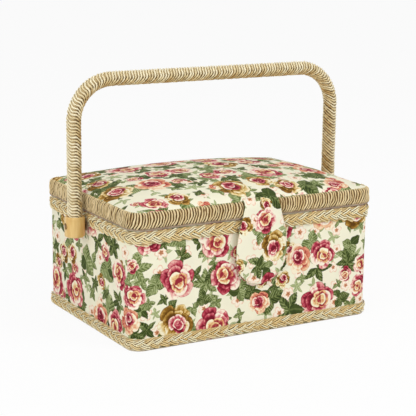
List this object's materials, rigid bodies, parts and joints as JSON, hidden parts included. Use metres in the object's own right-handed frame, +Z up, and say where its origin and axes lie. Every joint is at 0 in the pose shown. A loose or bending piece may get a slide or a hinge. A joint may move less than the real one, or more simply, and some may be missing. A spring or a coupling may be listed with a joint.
{
  "type": "sewing basket",
  "caption": "Cloth-covered sewing basket with a padded hinged lid, a closing flap, straw trim, a swinging straw-wound handle and a lift-out tray.",
  "frame": {"origin": "centre of the flat underside", "axes": "+X along the front towards the right end, +Y from the front to the hinged back, +Z up"},
  "size_m": [0.3462, 0.2255, 0.2735],
  "materials": {
    "fibreboard": "bare pressed fibreboard",
    "card": "plain card",
    "printed_cloth": "cream cotton printed with roses and leaves",
    "plain_cloth": "plain cream cotton",
    "taupe_tape": "woven tape",
    "foam": "soft open foam",
    "plaited_straw": "flat plaited straw",
    "wound_straw": "straw cord wound closely",
    "cane": "bent cane",
    "honey_wood": "varnished",
    "batten_wood": "bare softwood",
    "tray_plastic": "moulded",
    "magnet_steel": "plated",
    "plated_steel": "zinc plated"
  },
  "bodies": {
    "box": {"base_board": "fibreboard", "base_cover": "card", "box_hinge_leaf_left": "plated_steel", "box_hinge_leaf_right": "plated_steel", "box_hinge_rivets": "plated_steel", "floor_pad": "plain_cloth", "hinge_pin_left": "plated_steel", "hinge_pin_right": "plated_steel", "lower_braid": "plaited_straw", "pivot_nut_left": "plated_steel", "pivot_nut_right": "plated_steel", "pivot_screw_left": "plated_steel", "pivot_screw_right": "plated_steel", "pivot_washers_left": "plated_steel", "pivot_washers_right": "plated_steel", "side_cover": "printed_cloth", "side_lining": "plain_cloth", "strike_disc": "magnet_steel", "tray_ledge_left": "batten_wood", "tray_ledge_right": "batten_wood", "upper_braid": "plaited_straw", "wall_band": "fibreboard"},
    "lid": {"lid_board": "fibreboard", "lid_cover": "printed_cloth", "lid_edge_tape": "taupe_tape", "lid_frame": "fibreboard", "lid_hinge_leaf_left": "plated_steel", "lid_hinge_leaf_right": "plated_steel", "lid_hinge_rivets": "plated_steel", "lid_lining": "plain_cloth", "lid_pad": "foam", "lid_rim_wrap": "plaited_straw", "pin_cushion": "plain_cloth", "flap_root": "printed_cloth"},
    "flap": {"flap_tab": "printed_cloth", "flap_magnet": "magnet_steel"},
    "handle": {"handle_core": "cane", "handle_wrap": "wound_straw", "ferrule_left": "honey_wood", "ferrule_right": "honey_wood"},
    "tray": {"tray": "tray_plastic"}
  },
  "joints": [
    {"name": "lid_open", "type": "hinge", "parent": "box", "child": "lid", "pos_m": [0, 0.1106, 0.1262], "axis": [-1, 0, 0], "range_deg": [0, 37]},
    {"name": "flap_lift", "type": "hinge", "parent": "lid", "child": "flap", "pos_m": [0.0015, -0.1103, 0.14], "axis": [-1, 0, 0], "range_deg": [0, 95]},
    {"name": "handle_swing", "type": "hinge", "parent": "box", "child": "handle", "pos_m": [0, 0, 0.1125], "axis": [1, 0, 0], "range_deg": [-115, 115]},
    {"name": "tray_lift", "type": "slide", "parent": "box", "child": "tray", "axis": [0, 0, 1], "range_m": [0, 0.024]}
  ]
}
